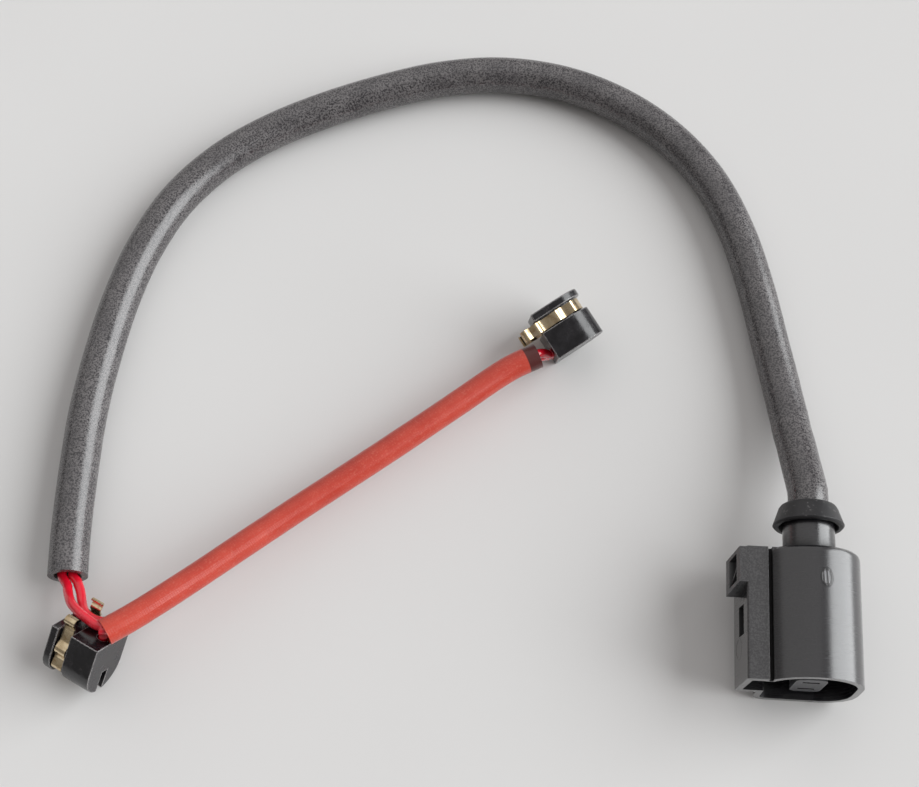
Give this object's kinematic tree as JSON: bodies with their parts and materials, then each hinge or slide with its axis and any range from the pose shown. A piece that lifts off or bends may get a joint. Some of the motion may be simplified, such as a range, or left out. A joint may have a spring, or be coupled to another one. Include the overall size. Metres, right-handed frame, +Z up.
{
  "type": "brake pad wear sensor",
  "caption": "Brake pad wear sensor: latching plug with rubber boot, sleeved lead, and slotted sensor heads with spring clips joined by a red tube.",
  "frame": {"origin": "on the surface that the part lies on, under the middle of its rigid pieces: the plug and both sensor heads", "axes": "+Z up, +X from the sensor heads towards the plug, +Y towards the top of the lead's arc; the plug's mouth faces about -Y"},
  "size_m": [0.1512, 0.1379, 0.0184],
  "materials": {
    "housing_plastic": "satin, worn to a sheen on the barrel",
    "insert_plastic": "satin",
    "contact_metal": "tinned",
    "seal_rubber": "matt",
    "boot_rubber": "matt",
    "sleeve_rubber": "speckled, dull",
    "tube_rubber": "satin",
    "wire_insulation": "glossy",
    "head_plastic": "glossy with dull nicked edges",
    "spring_steel": "pale brassy, lightly stained",
    "loop_metal": "bare"
  },
  "bodies": {
    "root": {"connector_housing": "housing_plastic", "terminal_carrier": "insert_plastic", "terminal_lock": "insert_plastic", "terminal_1": "contact_metal", "terminal_2": "contact_metal", "wire_seal_1": "seal_rubber", "wire_seal_2": "seal_rubber", "socket_seal": "seal_rubber", "boot": "boot_rubber", "sleeve": "sleeve_rubber", "red_tube": "tube_rubber", "wire_supply": "wire_insulation", "wire_link": "wire_insulation", "wire_return": "wire_insulation", "head_1_body": "head_plastic", "head_2_body": "head_plastic", "head_1_spring": "spring_steel", "head_2_spring": "spring_steel", "head_1_loop": "loop_metal", "head_2_loop": "loop_metal"}
  },
  "joints": []
}
